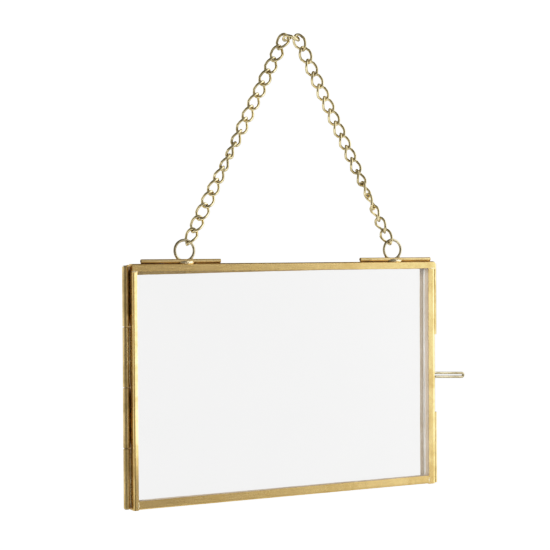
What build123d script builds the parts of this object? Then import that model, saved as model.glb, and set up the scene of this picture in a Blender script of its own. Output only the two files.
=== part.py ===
from build123d import *
import math
import os

os.makedirs("parts", exist_ok=True)

# A hanging photo frame of two brass leaves that shut like a book on their glass.
# Millimetres, +Z up, +X to the right seen from the front, +Y towards the wall.
# The origin is the top of the nail that carries the chain; the two leaves meet
# in the plane y = 0, which is also the plane of the rings and of the chain.

# ---- driving sizes -------------------------------------------------------
frame_width = 160.0
frame_height = 110.0
seam_gap = 0.4
strip = 0.5
glass_thickness = 2.4
glass_play = 0.4
glass_slack = 0.6

# ---- rails: face heights of the folded strip -----------------------------
face_top = 3.5
face_bottom = 4.3
face_left = 2.5
face_right = 3.9
door_face_bottom = 3.3
fold_radius = 0.4
door_drop = 0.4
door_strip_flare = 1.3
door_strip_flare_length = 0.62 * frame_width

# ---- tubes and wires -----------------------------------------------------
tube_diameter = 3.0
wire_diameter = 1.5
wire_clearance = 0.075
tube_stand_off = 0.2
solder_width = 0.9
solder_offset = 0.4
solder_bite = 0.8
solder_end_margin = 1.5

hinge_top_inset = 1.2
hinge_bottom_inset = 0.8
knuckle_count = 4
knuckle_gap = 0.3
pin_head_overhang = 0.375
pin_head_height = 0.4
pin_head_gap = 0.1

latch_tube_length = 0.32 * frame_height
latch_upper_inset = 1.2
latch_tip_gap = 0.4
latch_leg_top_inset = 10.0
handle_reach = 17.6
handle_drop_angle = 2.5
handle_spacing = 1.9
handle_bend = 0.93
handle_above_middle = -0.6

# ---- hangers -------------------------------------------------------------
ring_inset = 24.65
hanger_shift = 2.4
hanger_tube_diameter = 2.0
hanger_tube_wall = 0.4
hanger_left_inset = 5.0
hanger_left_length = 39.3
hanger_right_inset = 1.5
hanger_right_length = 40.1
ring_wire = 1.5
ring_radius = 4.75
ring_lift = 0.2

# ---- curb chain ----------------------------------------------------------
chain_wire = 1.4
link_reach_in_wires = 2.857
link_half_width_in_wires = 1.857
link_twist = 45.0
link_slack = 0.15
links_per_strand = 17
apex_clearance = 0.3
apex_roll = 90.0
first_link_inset = 0.4
first_link_side = 0.6
first_link_rise = 1.0
ring_link_gap = 0.3
# turn of each link about its strand, as (link number, degrees) from the top down
left_strand_turns = [(0, 45), (2, 5), (7, -12), (9, -48), (10, -40), (16, 56)]
right_strand_turns = [(0, 45), (2, 5), (10, -10), (16, -126)]

# ---- places worked out from the sizes above -------------------------------
leaf_depth = 2 * strip + glass_thickness + glass_slack
tube_bore = wire_diameter + 2 * wire_clearance
pin_head_diameter = wire_diameter + 2 * pin_head_overhang
hinge_length = frame_height - hinge_top_inset - hinge_bottom_inset
latch_lower_inset = frame_height - latch_tube_length
hanger_tube_bore = hanger_tube_diameter - 2 * hanger_tube_wall
hanger_half_span = frame_width / 2 - ring_inset
link_reach = link_reach_in_wires * chain_wire
link_half_width = link_half_width_in_wires * chain_wire
link_pitch = 2 * link_reach - chain_wire - link_slack
apex_height = chain_wire / 2 + apex_clearance
start_x = link_pitch / 2 - first_link_inset
start_z = apex_height + first_link_rise
ring_hold = ring_radius - (chain_wire + ring_wire) / 2 - ring_link_gap
strand_length = link_pitch * (links_per_strand - 0.5) + link_reach + ring_hold
strand_run = hanger_half_span - start_x
strand_drop = math.sqrt(strand_length**2 - strand_run**2 - first_link_side**2)
ring_z = start_z - strand_drop
frame_top = ring_z - ring_radius - ring_wire / 2 - ring_lift
frame_bottom = frame_top - frame_height
frame_left = -hanger_shift - frame_width / 2
frame_right = frame_left + frame_width
axis_offset = tube_diameter / 2 + tube_stand_off
hinge_x = frame_left - axis_offset
latch_x = frame_right + axis_offset


def save(solid, node):
    solid.label = node
    export_step(solid, f"parts/{node}.step")


def box(x0, x1, y0, y1, z0, z1):
    """Plain box between two corners."""
    centre = ((x0 + x1) / 2, (y0 + y1) / 2, (z0 + z1) / 2)
    return Pos(*centre) * Box(abs(x1 - x0), abs(y1 - y0), abs(z1 - z0))


# ---- rails ---------------------------------------------------------------
def channel(length, face, tab_start=0.0, tab_end=0.0):
    """Folded strip along +X, web at z = 0 and below, mouth facing -Z, folds rounded.

    A tab is the web alone, narrowed to pass between the flanges of the next rail.
    """
    profile = Rectangle(leaf_depth, face, align=(Align.MIN, Align.MAX))
    folds = profile.vertices().sort_by(Axis.Y)[-2:]
    profile = fillet(folds, fold_radius)
    hollow = Rectangle(leaf_depth - 2 * strip, face, align=(Align.MIN, Align.MAX))
    profile -= Pos(strip, -strip) * hollow
    rail = extrude(Plane.YZ * profile, amount=length)
    slot = (strip, leaf_depth - strip)
    if tab_start:
        rail += box(-tab_start, 0, *slot, -strip, 0)
    if tab_end:
        rail += box(length, length + tab_end, *slot, -strip, 0)
    return rail


def leaf_rails(top, faces):
    """The four rails of one leaf in a frame whose flanges span y = 0 .. leaf_depth.

    The top rail runs the full width.  The side rails butt under it and send a tab
    up between its flanges; the bottom rail stands between the side rails and
    closes their open lower ends with its own tabs.
    """
    upper, lower, left, right = faces
    side_length = top - upper - frame_bottom
    side_tab = upper - strip
    bottom_length = frame_width - left - right
    top_rail = Pos(frame_left, 0, top) * channel(frame_width, upper)
    bottom_rail = channel(bottom_length, lower, right - strip, left - strip)
    bottom_rail = Pos(frame_right - right, 0, frame_bottom) * Rot(0, 180, 0) * bottom_rail
    left_rail = channel(side_length, left, 0.0, side_tab)
    left_rail = Pos(frame_left, 0, frame_bottom) * Rot(0, -90, 0) * left_rail
    right_rail = channel(side_length, right, side_tab, 0.0)
    right_rail = Pos(frame_right, 0, frame_bottom + side_length) * Rot(0, 90, 0) * right_rail
    return {"top": top_rail, "bottom": bottom_rail, "left": left_rail, "right": right_rail}


def leaf_glass(top):
    """Pane standing on the web of the bottom rail, free by the play elsewhere."""
    inset = strip + glass_play
    return box(
        frame_left + inset,
        frame_right - inset,
        strip,
        strip + glass_thickness,
        frame_bottom + strip,
        top - inset,
    )


def front_leaf_pieces():
    """Front leaf: its outer face looks towards -Y."""
    faces = (face_top, face_bottom, face_left, face_right)
    shift = Pos(0, -leaf_depth - seam_gap / 2, 0)
    for side, rail in leaf_rails(frame_top, faces).items():
        save(shift * rail, f"front_rail_{side}")
    save(shift * leaf_glass(frame_top), "front_glass")


def door_leaf_pieces():
    """Back leaf, the front one mirrored in the seam and dropped a little."""
    door_top = frame_top - door_drop
    faces = (face_top, door_face_bottom, face_left, face_right)
    shift = Pos(0, leaf_depth + seam_gap / 2, 0)
    rails = leaf_rails(door_top, faces)
    for side in rails:
        rails[side] = shift * mirror(rails[side], Plane.XZ)
    rails["top"] += door_flare(door_top - face_top)
    for side, rail in rails.items():
        save(rail, f"door_rail_{side}")
    save(shift * mirror(leaf_glass(door_top), Plane.XZ), "door_glass")


def door_flare(edge):
    """The strip of the door's top rail was cut deeper towards the hinge."""
    start = frame_left + face_left
    outline = Polyline(
        (start, edge),
        (start + door_strip_flare_length, edge),
        (start, edge - door_strip_flare),
        close=True,
    )
    wedge = extrude(Plane.XZ * make_face(outline), amount=-strip)
    return Pos(0, seam_gap / 2, 0) * wedge


# ---- hinge and latch -----------------------------------------------------
def soldered_tube(axis_x, top, length, wall_side, leaf_side):
    """Tube beside a leaf, with the run of solder that holds it to that leaf.

    wall_side is +1 where the leaf lies towards +X of the tube, and leaf_side is
    -1 for the front leaf and +1 for the door.
    """
    middle = top - length / 2
    tube = Pos(axis_x, 0, middle) * Cylinder(tube_diameter / 2, length)
    x0 = axis_x + wall_side * (axis_offset - solder_bite - tube_stand_off)
    x1 = axis_x + wall_side * axis_offset
    y0 = leaf_side * solder_offset
    y1 = leaf_side * (solder_offset + solder_width)
    z0 = top - length + solder_end_margin
    z1 = top - solder_end_margin
    tube += box(min(x0, x1), max(x0, x1), min(y0, y1), max(y0, y1), z0, z1)
    return tube - Pos(axis_x, 0, middle) * Cylinder(tube_bore / 2, length)


def hinge_pieces():
    """Four knuckles in a row, door and front leaf by turns, on one pin."""
    knuckle = (hinge_length - (knuckle_count - 1) * knuckle_gap) / knuckle_count
    order = [("door", "upper"), ("front", "upper"), ("door", "lower"), ("front", "lower")]
    hinge_top = frame_top - hinge_top_inset
    for number, (leaf, level) in enumerate(order):
        top = hinge_top - number * (knuckle + knuckle_gap)
        leaf_side = 1 if leaf == "door" else -1
        save(soldered_tube(hinge_x, top, knuckle, 1, leaf_side), f"{leaf}_knuckle_{level}")
    shaft_length = hinge_length + pin_head_gap
    pin = Pos(0, 0, -shaft_length / 2) * Cylinder(wire_diameter / 2, shaft_length)
    for level in (pin_head_height / 2, -shaft_length - pin_head_height / 2):
        pin += Pos(0, 0, level) * Cylinder(pin_head_diameter / 2, pin_head_height)
    save(Pos(hinge_x, 0, hinge_top + pin_head_gap) * pin, "hinge_pin")


def latch_pieces():
    """Upper tube on the front leaf, lower tube on the door, one sliding wire."""
    upper = soldered_tube(latch_x, frame_top - latch_upper_inset, latch_tube_length, -1, -1)
    save(upper, "front_latch_tube")
    lower_top = frame_top - latch_lower_inset
    save(soldered_tube(latch_x, lower_top, latch_tube_length, -1, 1), "door_latch_tube")

    droop = math.radians(handle_drop_angle)
    arm_top = (frame_top + frame_bottom) / 2 + handle_above_middle
    arm_fall = handle_reach * math.tan(droop)
    corners = [
        (latch_x, lower_top + latch_tip_gap),
        (latch_x, arm_top - handle_spacing),
        (latch_x + handle_reach, arm_top - handle_spacing - arm_fall),
        (latch_x + handle_reach, arm_top - arm_fall),
        (latch_x, arm_top),
        (latch_x, frame_top - latch_leg_top_inset),
    ]
    route = FilletPolyline(*[(x, 0, z) for x, z in corners], radius=handle_bend)
    section = Plane(origin=route @ 0, z_dir=route % 0) * Circle(wire_diameter / 2)
    save(sweep(section, path=route), "latch_wire")


# ---- hangers -------------------------------------------------------------
def hanger_pieces():
    """Two short tubes along the top edge, each with a ring soldered behind it."""
    tube_y = -(ring_wire + hanger_tube_diameter) / 2
    tube_z = frame_top + hanger_tube_diameter / 2
    left_x = frame_left + hanger_left_inset + hanger_left_length / 2
    right_x = frame_right - hanger_right_inset - hanger_right_length / 2
    for side, x, length in (
        ("left", left_x, hanger_left_length),
        ("right", right_x, hanger_right_length),
    ):
        tube = Cylinder(hanger_tube_diameter / 2, length) - Cylinder(hanger_tube_bore / 2, length)
        save(Pos(x, tube_y, tube_z) * Rot(0, 90, 0) * tube, f"hanger_tube_{side}")
    for side, sign in (("left", -1), ("right", 1)):
        ring = Rot(90, 0, 0) * Torus(ring_radius, ring_wire / 2)
        save(Pos(sign * hanger_half_span, 0, ring_z) * ring, f"hanger_ring_{side}")


# ---- chain ---------------------------------------------------------------
def link_point(turn):
    """Centre line of a curb link: an oval whose two ends are twisted apart."""
    x = link_reach * math.cos(turn)
    y = link_half_width * math.sin(turn)
    lean = math.radians(link_twist) * x / link_reach
    return Vector(x, y * math.cos(lean), y * math.sin(lean))


def link_heading(turn):
    step = 1e-4
    return (link_point(turn + step) - link_point(turn - step)).normalized()


def curb_link():
    """One closed link, swept as two equal halves."""
    spans = 8
    turns = [math.pi / 2 + math.pi * i / spans for i in range(spans + 1)]
    ends = [link_heading(turns[0]), link_heading(turns[-1])]
    route = Spline(*[link_point(turn) for turn in turns], tangents=ends)
    section = Plane(origin=link_point(turns[0]), z_dir=ends[0]) * Circle(chain_wire / 2)
    half = sweep(section, path=route)
    return (half + half.rotate(Axis.Z, 180)).solid()


def link_place(centre, heading, roll):
    """Location of a link: long axis along heading, rolled from the frame's plane."""
    depth = Vector(0, 1, 0)
    across = depth.cross(heading).normalized()
    lifted = heading.cross(across)
    angle = math.radians(roll)
    side = across * math.cos(angle) + lifted * math.sin(angle)
    return Plane(origin=centre, x_dir=heading, z_dir=heading.cross(side)).location


def roll_at(number, turns):
    """Straight-line reading of a strand's list of turns."""
    for (n0, roll0), (n1, roll1) in zip(turns, turns[1:]):
        if n0 <= number <= n1:
            return roll0 + (roll1 - roll0) * (number - n0) / (n1 - n0)
    raise ValueError(number)


def chain_pieces():
    """One link across the nail and a straight strand from each end of it."""
    link = curb_link()
    level = Vector(1, 0, 0)
    apex = link_place(Vector(0, 0, apex_height), level, apex_roll)
    save(link.moved(apex), "chain_apex_link")
    for side, sign, turns in (("left", -1, left_strand_turns), ("right", 1, right_strand_turns)):
        start = Vector(sign * start_x, -sign * first_link_side, start_z)
        finish = Vector(sign * hanger_half_span, 0, ring_z)
        heading = (finish - start).normalized()
        for number in range(links_per_strand):
            centre = start + heading * (link_pitch * (number + 0.5))
            place = link_place(centre, heading, roll_at(number, turns))
            save(link.moved(place), f"chain_{side}_link_{number + 1:02d}")


front_leaf_pieces()
door_leaf_pieces()
hinge_pieces()
latch_pieces()
hanger_pieces()
chain_pieces()
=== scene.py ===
import math
import random

import bmesh
import bpy
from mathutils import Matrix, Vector, noise


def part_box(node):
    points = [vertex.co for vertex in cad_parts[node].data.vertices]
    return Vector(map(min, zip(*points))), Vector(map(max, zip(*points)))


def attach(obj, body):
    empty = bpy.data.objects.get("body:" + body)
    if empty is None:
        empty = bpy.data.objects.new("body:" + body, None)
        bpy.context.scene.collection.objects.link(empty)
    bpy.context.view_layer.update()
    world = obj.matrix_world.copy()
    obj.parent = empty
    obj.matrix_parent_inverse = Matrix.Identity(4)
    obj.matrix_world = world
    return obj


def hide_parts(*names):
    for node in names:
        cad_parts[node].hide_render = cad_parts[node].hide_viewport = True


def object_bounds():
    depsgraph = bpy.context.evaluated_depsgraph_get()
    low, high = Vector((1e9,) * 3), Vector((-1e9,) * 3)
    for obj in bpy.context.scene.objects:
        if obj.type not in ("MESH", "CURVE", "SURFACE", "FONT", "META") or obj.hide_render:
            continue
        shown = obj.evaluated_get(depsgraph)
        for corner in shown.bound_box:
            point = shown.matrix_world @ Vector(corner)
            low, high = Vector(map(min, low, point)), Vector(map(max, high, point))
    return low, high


# A small brass photo frame of two glazed leaves, hung by a curb chain.
# Metres, +Z up, the front of the frame looks towards -Y.

# ---- camera ----------------------------------------------------------------
camera_azimuth = -27.315
camera_elevation = 0.897
camera_roll = -0.301
camera_distance = 0.68369
camera_side = -0.0082
camera_rise = 0.04904
camera_lens = 95.56
camera_sensor = 36.0

# ---- studio ----------------------------------------------------------------
backdrop_level = 1.85
white_level = 1.8
response = [(0.1667, 0.3), (0.333, 0.55), (0.5556, 0.80), (0.8333, 0.957)]
floor_drop = 0.68
floor_half = 1.3
# level of the room round the object, as (degrees from the front towards +X, level)
room_round = [
    (-180, 0.4),
    (-165, 0.8),
    (-140, 1.2),
    (-110, 1.2),
    (-90, 0.8),
    (-75, 0.35),
    (-45, 0.2),
    (-20, 0.1),
    (0, 0.15),
    (15, 0.3),
    (22, 0.36),
    (40, 0.45),
    (90, 0.35),
    (120, 0.25),
    (153, 0.18),
    (180, 0.3),
]
room_top = 0.28
room_bottom = 0.25
room_top_start = 0.45
room_top_full = 0.75
# level of the large soft light on the right, as (sideways part of the direction, level)
key_side = [
    (0.40, 0.0),
    (0.47, 0.15),
    (0.52, 0.5),
    (0.55, 1.0),
    (0.60, 2.0),
    (0.68, 3.5),
    (0.9, 3.5),
    (1.0, 2.0),
]
key_low = -0.35
key_full = -0.03
key_low_share = 0.4
# the large light fades from the front (depth part of the direction) to the rear
key_front = -0.3
key_rear = 0.1
key_rear_share = 0.12
soft_light_power = 50.0
soft_light_size = 0.9
soft_light_offset = (-0.75, -0.85, 0.2)

# ---- sheet metal, tubes and solder -------------------------------------------
station_step = 0.002
strip = 0.0005
strip_edge = 0.0002
face_recess = 0.00006
seam_gap = 0.00008
fold_radius = 0.00025
shoulder = 0.0005
shoulder_reach = 0.0028
edge_wave = 0.00006
face_wave = 0.000015
tube_segments = 40
tube_bore_radius = 0.000825
hanger_bore_radius = 0.0006
tube_dent = 0.00003
end_chamfer = 0.00013
# reach and colour of the painted shade that darkens brass in corners, crevices and gaps between
# parts
shade_reach = 0.0006
painted_shade_colour = (0.3, 0.17, 0.05)
speck_depth = 0.000006
glass_gloss = 0.04
sharp_angle = 38.0
solder_margin = 0.0012
solder_half_across = 0.00045
solder_half_up = 0.00042
flare_share = 0.62
# how far the outer flange of each rail sinks towards its free edge, as (share of length, drop)
rail_drops = {
    "front": {
        "top": [(0.0, 0.00003), (1.0, 0.00003)],
        "bottom": [(0.0, 0.00003), (1.0, 0.00003)],
        "left": [(0.0, 0.00002), (0.12, 0.00006), (0.3, 0.0003), (0.8, 0.0004), (1.0, 0.0003)],
        "right": [(0.0, 0.00002), (1.0, 0.00002)],
    },
    "door": {
        "top": [(0.0, 0.00004), (1.0, 0.00002)],
        "bottom": [(0.0, 0.00002), (1.0, 0.00005)],
        "left": [(0.0, 0.00005), (1.0, 0.00003)],
        "right": [(0.0, 0.00003), (1.0, 0.00008)],
    },
}

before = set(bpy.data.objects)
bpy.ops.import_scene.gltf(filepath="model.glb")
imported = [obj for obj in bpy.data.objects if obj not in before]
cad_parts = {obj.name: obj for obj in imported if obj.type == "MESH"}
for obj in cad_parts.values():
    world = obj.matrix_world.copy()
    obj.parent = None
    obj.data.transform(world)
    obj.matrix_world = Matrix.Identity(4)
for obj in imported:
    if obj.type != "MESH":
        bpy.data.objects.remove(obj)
cad_low, cad_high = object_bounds()


# ---- node trees ------------------------------------------------------------
class Tree:
    """Shorthand for adding linked nodes to one node tree."""

    def __init__(self, tree):
        self.tree = tree
        self.tree.nodes.clear()

    def add(self, kind, inputs=None, **settings):
        node = self.tree.nodes.new(kind)
        for name, value in settings.items():
            setattr(node, name, value)
        for name, value in (inputs or {}).items():
            if isinstance(value, bpy.types.NodeSocket):
                self.tree.links.new(value, node.inputs[name])
            else:
                node.inputs[name].default_value = value
        return node

    def math(self, operation, first, second=0.0):
        node = self.add("ShaderNodeMath", {0: first, 1: second}, operation=operation)
        return node.outputs[0]

    def remap(self, value, low, high, out_low=0.0, out_high=1.0):
        inputs = {
            "Value": value,
            "From Min": low,
            "From Max": high,
            "To Min": out_low,
            "To Max": out_high,
        }
        return self.add("ShaderNodeMapRange", inputs).outputs["Result"]

    def ramp(self, value, stops, interpolation="LINEAR"):
        node = self.add("ShaderNodeValToRGB", {"Fac": value})
        node.color_ramp.interpolation = interpolation
        elements = node.color_ramp.elements
        while len(elements) < len(stops):
            elements.new(0.5)
        for element, (place, colour) in zip(elements, stops):
            element.position = place
            element.color = (*colour, 1.0)
        return node.outputs["Color"]

    def noise(self, coords, scale, detail=3.0, roughness=0.5, distortion=0.0):
        inputs = {
            "Vector": coords,
            "Scale": scale,
            "Detail": detail,
            "Roughness": roughness,
            "Distortion": distortion,
        }
        return self.add("ShaderNodeTexNoise", inputs).outputs["Fac"]

    def stretched(self, coords, scale):
        node = self.add("ShaderNodeMapping", {"Vector": coords, "Scale": scale})
        return node.outputs["Vector"]

    def mix(self, factor, first, second, blend="MIX"):
        node = self.add("ShaderNodeMix", data_type="RGBA", blend_type=blend)
        for index, value in ((0, factor), (6, first), (7, second)):
            if isinstance(value, bpy.types.NodeSocket):
                self.tree.links.new(value, node.inputs[index])
            elif index == 0:
                node.inputs[index].default_value = value
            else:
                node.inputs[index].default_value = (*value, 1.0)
        return node.outputs[2]

    def bump(self, height, distance, normal=None):
        inputs = {"Height": height, "Distance": distance, "Strength": 1.0}
        if normal is not None:
            inputs["Normal"] = normal
        return self.add("ShaderNodeBump", inputs).outputs["Normal"]


# ---- materials -------------------------------------------------------------
def brass(
    name, grain, bright, dark, roughness, grain_depth, wave_depth, metallic=1.0, reach=shade_reach
):
    """Bare brass: drawn grain along one axis, tarnish in patches, and painted shade darkening its
    corners and crevices.
    """
    material = bpy.data.materials.new(name)
    material.use_nodes = True
    tree = Tree(material.node_tree)
    place = tree.add("ShaderNodeTexCoord").outputs["Object"]

    clouds = tree.noise(place, 55.0, 4.0, 0.6, 0.4)
    blotches = tree.noise(place, 420.0, 3.0, 0.6)
    streaks = tree.noise(tree.stretched(place, grain), 1.0, 3.0, 0.6)
    specks = tree.noise(place, 2600.0, 2.0, 0.6)

    tarnish = tree.remap(clouds, 0.42, 0.62)
    tarnish = tree.math("ADD", tarnish, tree.remap(blotches, 0.4, 0.7, -0.25, 0.35))
    tarnish = tree.math("ADD", tarnish, tree.remap(streaks, 0.3, 0.7, -0.2, 0.2))
    tarnish = tree.math("MINIMUM", tree.math("MAXIMUM", tarnish, 0.0), 1.0)
    colour = tree.mix(tarnish, bright, dark)

    # painted shade: the colour turns dark brown where nearby surfaces close in (ambient occlusion)
    corner = tree.add("ShaderNodeAmbientOcclusion", {"Distance": reach}, samples=4)
    painted_shade = tree.remap(corner.outputs["AO"], 0.3, 0.75, 0.65, 0.0)
    colour = tree.mix(painted_shade, colour, painted_shade_colour)

    rough = tree.remap(tarnish, 0.0, 1.0, roughness, roughness + 0.12)
    rough = tree.math("ADD", rough, tree.remap(streaks, 0.3, 0.7, -0.05, 0.05))

    normal = tree.bump(clouds, wave_depth)
    normal = tree.bump(streaks, grain_depth, normal)
    normal = tree.bump(specks, speck_depth, normal)

    shader = tree.add(
        "ShaderNodeBsdfPrincipled",
        {"Base Color": colour, "Roughness": rough, "Normal": normal, "Metallic": metallic},
    )
    tree.add("ShaderNodeOutputMaterial", {"Surface": shader.outputs["BSDF"]})
    return material


def clear_glass():
    """Picture glass: a faint grey tint, faint smears, and more gloss at steep angles."""
    material = bpy.data.materials.new("clear_glass")
    material.use_nodes = True
    tree = Tree(material.node_tree)
    place = tree.add("ShaderNodeTexCoord").outputs["Object"]
    smears = tree.noise(place, 30.0, 4.0, 0.6, 1.0)
    rough = tree.remap(smears, 0.45, 0.7, 0.01, 0.05)
    tint = tree.mix(smears, (0.943, 0.943, 0.941), (0.931, 0.932, 0.931))
    through = tree.add("ShaderNodeBsdfTransparent", {"Color": tint})
    mirror = tree.add("ShaderNodeBsdfGlossy", {"Color": (1, 1, 1, 1), "Roughness": rough})
    grazing = tree.add("ShaderNodeLayerWeight", {"Blend": 0.5}).outputs["Facing"]
    edge_gloss = tree.math("POWER", grazing, 5.0)
    gloss = tree.remap(edge_gloss, 0.0, 1.0, glass_gloss, 1.0)
    shader = tree.add(
        "ShaderNodeMixShader",
        {0: gloss, 1: through.outputs["BSDF"], 2: mirror.outputs["BSDF"]},
    )
    tree.add("ShaderNodeOutputMaterial", {"Surface": shader.outputs["Shader"]})
    return material


light_brass = (0.88, 0.60, 0.23)
aged_brass = (0.62, 0.41, 0.14)
rail_grain_across = (120.0, 4200.0, 4200.0)
rail_grain_upright = (4200.0, 4200.0, 120.0)
# each as name and grain, bright and dark colour, then roughness and the depths of its bumps
materials = {
    "flat": brass(
        "rail_brass_flat", rail_grain_across,
        light_brass, aged_brass,
        0.2, 4e-6, 6e-5,
    ),
    "upright": brass(
        "rail_brass_upright", rail_grain_upright,
        light_brass, aged_brass,
        0.2, 4e-6, 6e-5,
    ),
    "inside": brass(
        "rail_inside", (900.0, 900.0, 900.0),
        (0.86, 0.83, 0.76), (0.7, 0.66, 0.58),
        0.4, 4e-6, 6e-5, 0.2, 0.0018,
    ),
    "tube": brass(
        "tube_brass", (3000.0, 3000.0, 200.0),
        (0.86, 0.61, 0.26), (0.56, 0.39, 0.15),
        0.28, 5e-6, 8e-5,
    ),
    "cross_tube": brass(
        "cross_tube_brass", (200.0, 3000.0, 3000.0),
        (0.7, 0.5, 0.22), (0.42, 0.3, 0.12),
        0.3, 5e-6, 8e-5,
    ),
    "solder": brass(
        "solder", (700.0, 700.0, 700.0),
        (0.9, 0.72, 0.42), (0.7, 0.54, 0.28),
        0.24, 2e-6, 4e-5,
    ),
    "wire": brass(
        "wire_brass", (900.0, 900.0, 900.0),
        (0.58, 0.5, 0.32), (0.36, 0.3, 0.18),
        0.28, 5e-6, 5e-5,
    ),
    "chain": brass(
        "chain_brass", (1500.0, 1500.0, 1500.0),
        (0.76, 0.63, 0.34), (0.46, 0.38, 0.2),
        0.22, 5e-6, 5e-5,
    ),
    "glass": clear_glass(),
}


def finish_for(node):
    """The finish of a node from what kind of part it is."""
    if node.endswith("glass"):
        return "glass"
    if "link" in node:
        return "chain"
    if "ring" in node or "wire" in node or "pin" in node:
        return "wire"
    return "tube"


def dress_nodes():
    for name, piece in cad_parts.items():
        piece.data.materials.clear()
        piece.data.materials.append(materials[finish_for(name)])


# ---- mesh helpers ------------------------------------------------------------
def wave(seed, place, length, amount):
    """Smooth unevenness along a line: three sines with seeded phases."""
    draw = random.Random(seed)
    total = 0.0
    for period, share in ((0.9, 0.5), (0.37, 0.3), (0.13, 0.2)):
        phase = draw.uniform(0.0, 2 * math.pi)
        total += share * math.sin(2 * math.pi * place / (length * period) + phase)
    return total * amount


def reading(table, place):
    """Straight-line reading of a table of (place, value)."""
    for (p0, v0), (p1, v1) in zip(table, table[1:]):
        if place <= p1:
            return v0 + (v1 - v0) * (place - p0) / (p1 - p0)
    return table[-1][1]


def add_piece(name, mesh, body, slot, finishes, *nodes):
    for finish in finishes:
        mesh.materials.append(materials[finish])
    mesh.polygons.foreach_set("use_smooth", [True] * len(mesh.polygons))
    mesh.set_sharp_from_angle(angle=math.radians(sharp_angle))
    piece = bpy.data.objects.new(name, mesh)
    bpy.context.scene.collection.objects.link(piece)
    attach(piece, body)
    if nodes:
        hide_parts(*nodes)
    return piece


def skin(rings, cap_ends, finish_of=None):
    """Faces between equal closed rings of points, as (points, faces, finishes)."""
    count = len(rings[0])
    points = [point for ring in rings for point in ring]
    faces, finishes = [], []
    for step in range(len(rings) - 1):
        low, high = step * count, (step + 1) * count
        for i in range(count):
            j = (i + 1) % count
            faces.append((low + i, low + j, high + j, high + i))
            finishes.append(finish_of(i) if finish_of else 0)
    if cap_ends:
        last = (len(rings) - 1) * count
        faces.append(tuple(reversed(range(count))))
        faces.append(tuple(last + i for i in range(count)))
        finishes += [0, 0]
    return points, faces, finishes


def mesh_from(name, parts):
    """One mesh from several (points, faces, finishes), its normals turned outwards."""
    points, faces, finishes = [], [], []
    for more_points, more_faces, more_finishes in parts:
        base = len(points)
        points += more_points
        faces += [tuple(base + i for i in face) for face in more_faces]
        finishes += more_finishes
    mesh = bpy.data.meshes.new(name)
    mesh.from_pydata(points, [], faces)
    mesh.polygons.foreach_set("material_index", finishes)
    shape = bmesh.new()
    shape.from_mesh(mesh)
    bmesh.ops.recalc_face_normals(shape, faces=shape.faces)
    shape.to_mesh(mesh)
    shape.free()
    return mesh


# ---- rails -------------------------------------------------------------------
def rail_section(depth, face, drop, bow):
    """Outline of a folded rail as (depth from the outer face, distance from the web).

    The outer flange sinks by drop towards its free edge; the web eases into the
    outer fold over a soft shoulder.  Points up to the returned count are outside.
    """
    crest = shoulder + fold_radius
    outside = []
    for share in (1.0, 0.85, 0.65, 0.45, 0.25, 0.0):
        across = crest + (face - crest) * share
        outside.append((face_recess + drop * share**1.2 + bow * math.sin(math.pi * share), across))
    for step in (1, 2):
        turn = math.radians(30 * step)
        outside.append(
            (
                face_recess + fold_radius * (1 - math.cos(turn)),
                crest - fold_radius * math.sin(turn),
            )
        )
    for share in (0.15, 0.3, 0.5, 0.75, 1.0):
        outside.append((shoulder_reach * share, shoulder * (1 - share) ** 2))
    back = depth - fold_radius
    outside.append((back, 0.0))
    for step in (1, 2):
        turn = math.radians(30 * step)
        outside.append((back + fold_radius * math.sin(turn), fold_radius * (1 - math.cos(turn))))
    outside += [(depth, fold_radius), (depth, face * 0.5), (depth, face)]
    inside = [
        (depth - strip, face),
        (depth - strip, face * 0.5),
        (depth - strip, 2 * strip),
        (depth - 1.3 * strip, strip * 1.3),
        (depth - 2 * strip, strip),
        (2 * strip, strip * 1.2),
        (1.3 * strip, strip * 1.5),
        (strip, 2.4 * strip),
        (strip, face * 0.5),
        (face_recess + drop + strip_edge, face),
    ]
    return outside + inside, len(outside)


def tongue(origin, along, inward, depth, leaf_depth, reach):
    """Web alone, narrowed to pass between the flanges of the next rail."""
    near, far = strip * 1.1, leaf_depth - strip * 1.1
    rings = []
    for place in (0.0, reach):
        ring = [(near, strip * 0.1), (far, strip * 0.1), (far, strip * 0.9), (near, strip * 0.9)]
        rings.append([origin + along * place + depth * u + inward * v for u, v in ring])
    return skin(rings, True)


def make_rail(name, node, body, origin, along, inward, depth, length, face_of, drops, tongues):
    """Folded rail swept from its outer corner, with hand-bent unevenness."""
    low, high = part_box(node)
    leaf_depth = high.y - low.y
    count = max(8, round(length / station_step))
    rings = []
    outer_count = 0
    for station in range(count + 1):
        share = station / count
        place = seam_gap + (length - 2 * seam_gap) * share
        face = face_of(share) + wave(name + "edge", share, 0.5, edge_wave)
        drop = reading(drops, share) + wave(name + "drop", share, 0.6, face_wave)
        bow = wave(name + "bow", share, 0.4, face_wave)
        section, outer_count = rail_section(leaf_depth, face, drop, bow)
        rings.append([origin + along * place + depth * u + inward * v for u, v in section])
    sides = len(rings[0])
    parts = [skin(rings, True, lambda i: 1 if outer_count - 1 <= i < sides - 1 else 0)]
    for start, direction, reach in tongues:
        root = origin + along * start
        parts.append(tongue(root, along * direction, inward, depth, leaf_depth, reach))
    finish = "flat" if abs(along.x) > 0.5 else "upright"
    mesh = mesh_from(name, parts)
    return add_piece(name, mesh, body, "rail_brass", (finish, "inside"), node)


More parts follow.
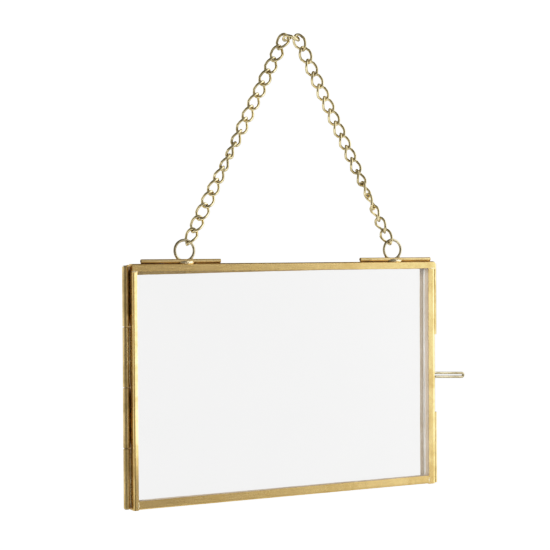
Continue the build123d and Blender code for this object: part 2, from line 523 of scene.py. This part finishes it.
def make_leaf(leaf, body, outer_sign):
    """Four rails of one leaf; outer_sign is -1 where its outer face looks to -Y."""
    boxes = {side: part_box(f"{leaf}_rail_{side}") for side in ("top", "bottom", "left", "right")}
    top_low, top_high = boxes["top"]
    bottom_low, bottom_high = boxes["bottom"]
    left_low, left_high = boxes["left"]
    right_low, right_high = boxes["right"]
    front_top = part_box("front_rail_top")
    face_top = front_top[1].z - front_top[0].z
    face_left = left_high.x - left_low.x
    face_right = right_high.x - right_low.x
    face_bottom = bottom_high.z - bottom_low.z
    flare = (top_high.z - top_low.z) - face_top
    outer_y = top_low.y if outer_sign < 0 else top_high.y
    depth = Vector((0, -outer_sign, 0))
    right, up = Vector((1, 0, 0)), Vector((0, 0, 1))
    width = top_high.x - top_low.x
    side_length = top_high.z - face_top - left_low.z
    drops = rail_drops[leaf]

    make_rail(
        f"{leaf}_rail_top_sheet", f"{leaf}_rail_top", body,
        Vector((top_low.x, outer_y, top_high.z)), right, -up, depth, width,
        lambda share: face_top + flare * max(0.0, 1 - share / flare_share), drops["top"], [],
    )
    make_rail(
        f"{leaf}_rail_left_sheet", f"{leaf}_rail_left", body,
        Vector((left_low.x, outer_y, left_low.z)), up, right, depth, side_length,
        lambda share: face_left, drops["left"],
        [(side_length, 1, face_top - 1.1 * strip)],
    )
    make_rail(
        f"{leaf}_rail_right_sheet", f"{leaf}_rail_right", body,
        Vector((right_high.x, outer_y, right_low.z)), up, -right, depth, side_length,
        lambda share: face_right, drops["right"],
        [(side_length, 1, face_top - 1.1 * strip)],
    )
    make_rail(
        f"{leaf}_rail_bottom_sheet", f"{leaf}_rail_bottom", body,
        Vector((left_high.x, outer_y, bottom_low.z)), right, up, depth,
        width - face_left - face_right, lambda share: face_bottom, drops["bottom"],
        [
            (0.0, -1, face_left - 1.1 * strip),
            (width - face_left - face_right, 1, face_right - 1.1 * strip),
        ],
    )


# ---- tubes and solder --------------------------------------------------------
def tube_part(origin, axis, across, up, length, radius, bore, seed):
    """Short cut of tube with eased ends and a slightly dented wall."""
    profile = [(bore, end_chamfer), (bore + end_chamfer, 0.0)]
    profile += [(radius - end_chamfer, 0.0), (radius, end_chamfer)]
    count = max(6, round(length / station_step))
    for station in range(1, count):
        profile.append((radius, length * station / count))
    profile += [(radius, length - end_chamfer), (radius - end_chamfer, length)]
    profile += [(bore + end_chamfer, length), (bore, length - end_chamfer)]
    rings = []
    for size, place in profile:
        ring = []
        for step in range(tube_segments):
            turn = 2 * math.pi * step / tube_segments
            dent = 0.0
            if size > bore + 2 * end_chamfer:
                spot = Vector((place * 120, math.cos(turn) * 1.5, math.sin(turn) * 1.5 + seed))
                dent = noise.noise(spot) * tube_dent
            reach = size + min(0.0, dent)
            outward = across * math.cos(turn) + up * math.sin(turn)
            ring.append(origin + axis * place + outward * reach)
        rings.append(ring)
    rings.append(rings[0])
    return skin(rings, False)


def solder_run(start, axis, length, across, up, half_across, half_up, seed):
    """Lumpy run of solder along a straight line, thin at both ends."""
    count = max(10, round(length / 0.0007))
    segments = 12
    rings = []
    for station in range(count + 1):
        share = station / count
        taper = min(1.0, 0.15 + 6 * min(share, 1 - share))
        lump = 1.0 + 0.28 * noise.noise(Vector((share * length * 450, seed, 0.0)))
        drift = noise.noise(Vector((share * length * 200, seed, 7.0))) * half_up * 0.3
        ring = []
        for step in range(segments):
            turn = 2 * math.pi * step / segments
            ring.append(
                start + axis * (length * share)
                + across * (math.cos(turn) * half_across * taper * lump)
                + up * (math.sin(turn) * half_up * taper * lump + drift)
            )
        rings.append(ring)
    return skin(rings, True, lambda i: 1)


def make_upright_tube(node, body, wall_side, leaf_side, seed):
    """Hinge knuckle or latch tube with the solder that holds it to its leaf."""
    low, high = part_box(node)
    radius = (high.y - low.y) / 2
    axis_x = low.x + radius if wall_side > 0 else high.x - radius
    wall_x = high.x if wall_side > 0 else low.x
    length = high.z - low.z
    right, depth, up = Vector((1, 0, 0)), Vector((0, 1, 0)), Vector((0, 0, 1))
    origin = Vector((axis_x, 0, low.z))
    parts = [tube_part(origin, up, right, depth, length, radius, tube_bore_radius, seed)]
    solder_x = (wall_x + axis_x + wall_side * radius * 0.75) / 2
    start = Vector((solder_x, leaf_side * radius * 0.6, low.z + solder_margin))
    run = length - 2 * solder_margin
    parts.append(
        solder_run(start, up, run, right, depth, solder_half_across, solder_half_up, seed)
    )
    mesh = mesh_from(node + "_soldered", parts)
    add_piece(node + "_soldered", mesh, body, "tube_brass", ("tube", "solder"), node)


def make_hanger_tube(side, seed):
    node = f"hanger_tube_{side}"
    low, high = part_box(node)
    radius = (high.z - low.z) / 2
    origin = Vector((low.x, (low.y + high.y) / 2, (low.z + high.z) / 2))
    right, depth, up = Vector((1, 0, 0)), Vector((0, 1, 0)), Vector((0, 0, 1))
    part = tube_part(origin, right, depth, up, high.x - low.x, radius, hanger_bore_radius, seed)
    mesh = mesh_from(node + "_cut", [part])
    add_piece(node + "_cut", mesh, "front_leaf", "tube_brass", ("cross_tube",), node)


def make_blob(name, body, centre, radii, seed, lumps=0.1):
    """Frozen drop of solder: a noisy squashed ball that the parts stand in."""
    shape = bmesh.new()
    bmesh.ops.create_icosphere(shape, subdivisions=5, radius=1.0)
    for point in shape.verts:
        swell = 1 + lumps * noise.noise(point.co * 1.7 + Vector((seed, 0, 0)))
        swell += 0.4 * lumps * noise.noise(point.co * 4.3 + Vector((0, seed, 0)))
        point.co = centre + Vector([c * r * swell for c, r in zip(point.co, radii)])
    mesh = bpy.data.meshes.new(name)
    shape.to_mesh(mesh)
    shape.free()
    add_piece(name, mesh, body, "tube_brass", ("solder",))


def make_solder():
    """Solder at the feet of the rings and over the corner seams of the front leaf."""
    top_low, top_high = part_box("front_rail_top")
    for side, seed in (("left", 3.0), ("right", 8.0)):
        ring_low, ring_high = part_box(f"hanger_ring_{side}")
        middle = (ring_low.x + ring_high.x) / 2
        centre = Vector((middle, top_low.y + 0.0017, top_high.z + 0.0003))
        make_blob(f"ring_solder_{side}", "front_leaf", centre, (0.0034, 0.0014, 0.00105), seed)
    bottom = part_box("front_rail_left")[0].z
    inner_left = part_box("front_rail_left")[1].x
    inner_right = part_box("front_rail_right")[0].x
    face = top_low.y + 0.00022
    spots = [
        (
            "corner_solder_low_left",
            Vector((inner_left - 0.0002, face, bottom + 0.0022)),
            (0.0008, 0.0002, 0.0019),
            1.0,
        ),
        (
            "corner_solder_low_right",
            Vector((inner_right, face, bottom + 0.0020)),
            (0.0005, 0.00018, 0.0018),
            2.0,
        ),
        (
            "corner_solder_top_left",
            Vector((inner_left - 0.0012, face, top_low.z)),
            (0.0013, 0.00018, 0.0005),
            5.0,
        ),
        (
            "corner_solder_top_right",
            Vector((inner_right + 0.002, face, top_low.z)),
            (0.0017, 0.00018, 0.0005),
            6.0,
        ),
    ]
    for name, centre, radii, seed in spots:
        make_blob(name, "front_leaf", centre, radii, seed, 0.35)


# ---- studio ----------------------------------------------------------------
def make_world():
    """White backdrop to the eye; a dim room with one large soft light for reflections."""
    world = bpy.data.worlds.new("studio")
    bpy.context.scene.world = world
    world.use_nodes = True
    tree = Tree(world.node_tree)
    ray = tree.add("ShaderNodeTexCoord").outputs["Generated"]
    split = tree.add("ShaderNodeSeparateXYZ", {"Vector": ray})
    turn = tree.math("ARCTAN2", split.outputs["X"], tree.math("MULTIPLY", split.outputs["Y"], -1.0))
    share = tree.remap(turn, -math.pi, math.pi)
    stops = [((degrees + 180) / 360, (level,) * 3) for degrees, level in room_round]
    around = tree.ramp(share, stops)
    upward = tree.remap(split.outputs["Z"], room_top_start, room_top_full)
    around = tree.mix(upward, around, (room_top,) * 3)
    downward = tree.remap(split.outputs["Z"], -room_top_start, -room_top_full)
    around = tree.mix(downward, around, (room_bottom,) * 3)
    peak = max(level for side, level in key_side)
    stops = [(side, (level / peak,) * 3) for side, level in key_side]
    key = tree.math("MULTIPLY", tree.ramp(split.outputs["X"], stops), peak)
    height = tree.remap(split.outputs["Z"], key_low, key_full, key_low_share, 1.0)
    facing = tree.remap(split.outputs["Y"], key_front, key_rear, 1.0, key_rear_share)
    key = tree.math("MULTIPLY", tree.math("MULTIPLY", key, height), facing)
    level = tree.math("ADD", around, key)
    studio = tree.add("ShaderNodeBackground", {"Color": (1, 1, 1, 1), "Strength": level})
    backdrop = tree.add("ShaderNodeBackground", {"Color": (1, 1, 1, 1), "Strength": backdrop_level})
    seen = tree.add("ShaderNodeLightPath").outputs["Is Camera Ray"]
    shader = tree.add(
        "ShaderNodeMixShader",
        {0: seen, 1: studio.outputs["Background"], 2: backdrop.outputs["Background"]},
    )
    tree.add("ShaderNodeOutputWorld", {"Surface": shader.outputs["Shader"]})


def make_soft_light():
    """Large soft light from the front left, out of reflections, for the insides of the rails."""
    data = bpy.data.lights.new("soft_left", "AREA")
    data.shape = "RECTANGLE"
    data.size = soft_light_size
    data.size_y = soft_light_size
    data.energy = soft_light_power
    light = bpy.data.objects.new("soft_left", data)
    bpy.context.scene.collection.objects.link(light)
    light.visible_glossy = False
    light.visible_camera = False
    centre = (cad_low + cad_high) / 2
    light.location = centre + Vector(soft_light_offset)
    light.rotation_euler = (light.location - centre).to_track_quat("Z", "Y").to_euler()


def make_floor():
    """Wide pale floor well below the hanging frame."""
    level = cad_low.z - floor_drop
    half = floor_half
    corners = [(-half, -half), (half, -half), (half, half), (-half, half)]
    mesh = bpy.data.meshes.new("floor")
    mesh.from_pydata([(x, y, level) for x, y in corners], [], [(0, 1, 2, 3)])
    floor = bpy.data.objects.new("floor", mesh)
    bpy.context.scene.collection.objects.link(floor)
    material = bpy.data.materials.new("floor_white")
    material.use_nodes = True
    tree = Tree(material.node_tree)
    matt = tree.add("ShaderNodeBsdfDiffuse", {"Color": (0.8, 0.8, 0.8, 1)})
    bright = tree.add("ShaderNodeEmission", {"Strength": backdrop_level})
    seen = tree.add("ShaderNodeLightPath").outputs["Is Camera Ray"]
    shader = tree.add(
        "ShaderNodeMixShader", {0: seen, 1: matt.outputs["BSDF"], 2: bright.outputs["Emission"]}
    )
    tree.add("ShaderNodeOutputMaterial", {"Surface": shader.outputs["Shader"]})
    mesh.materials.append(material)


def make_camera():
    azimuth = math.radians(camera_azimuth)
    elevation = math.radians(camera_elevation)
    back = Vector(
        (
            math.sin(azimuth) * math.cos(elevation),
            -math.cos(azimuth) * math.cos(elevation),
            math.sin(elevation),
        )
    )
    data = bpy.data.cameras.new("camera")
    data.lens = camera_lens
    data.sensor_width = camera_sensor
    data.clip_start = 0.01
    data.clip_end = 100.0
    camera = bpy.data.objects.new("camera", data)
    bpy.context.scene.collection.objects.link(camera)
    turn = (-back).to_track_quat("-Z", "Y").to_matrix()
    roll = math.radians(camera_roll)
    across, up = turn.col[0].copy(), turn.col[1].copy()
    across, up = (
        across * math.cos(roll) + up * math.sin(roll),
        up * math.cos(roll) - across * math.sin(roll),
    )
    low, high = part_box("front_rail_top")
    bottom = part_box("front_rail_bottom")[0].z
    centre = Vector(((low.x + high.x) / 2, low.y, (high.z + bottom) / 2))
    camera.location = centre + back * camera_distance + up * camera_rise + across * camera_side
    turn.col[0], turn.col[1], turn.col[2] = across, up, back
    camera.rotation_euler = turn.to_euler()
    bpy.context.scene.camera = camera


def set_response():
    """A soft shoulder, so that bright brass pales before it clips."""
    settings = bpy.context.scene.view_settings
    settings.view_transform = "Standard"
    settings.use_curve_mapping = True
    mapping = settings.curve_mapping
    mapping.white_level = (white_level,) * 3
    curve = mapping.curves[3]
    for x, y in response:
        curve.points.new(x, y)
    mapping.update()


dress_nodes()
make_leaf("front", "front_leaf", -1)
make_leaf("door", "door", 1)
make_upright_tube("door_knuckle_upper", "door", 1, 1, 1.0)
make_upright_tube("front_knuckle_upper", "front_leaf", 1, -1, 2.0)
make_upright_tube("door_knuckle_lower", "door", 1, 1, 3.0)
make_upright_tube("front_knuckle_lower", "front_leaf", 1, -1, 4.0)
make_upright_tube("front_latch_tube", "front_leaf", -1, -1, 5.0)
make_upright_tube("door_latch_tube", "door", -1, 1, 6.0)
make_hanger_tube("left", 7.0)
make_hanger_tube("right", 8.0)
make_solder()
make_world()
make_soft_light()
make_floor()
make_camera()
set_response()
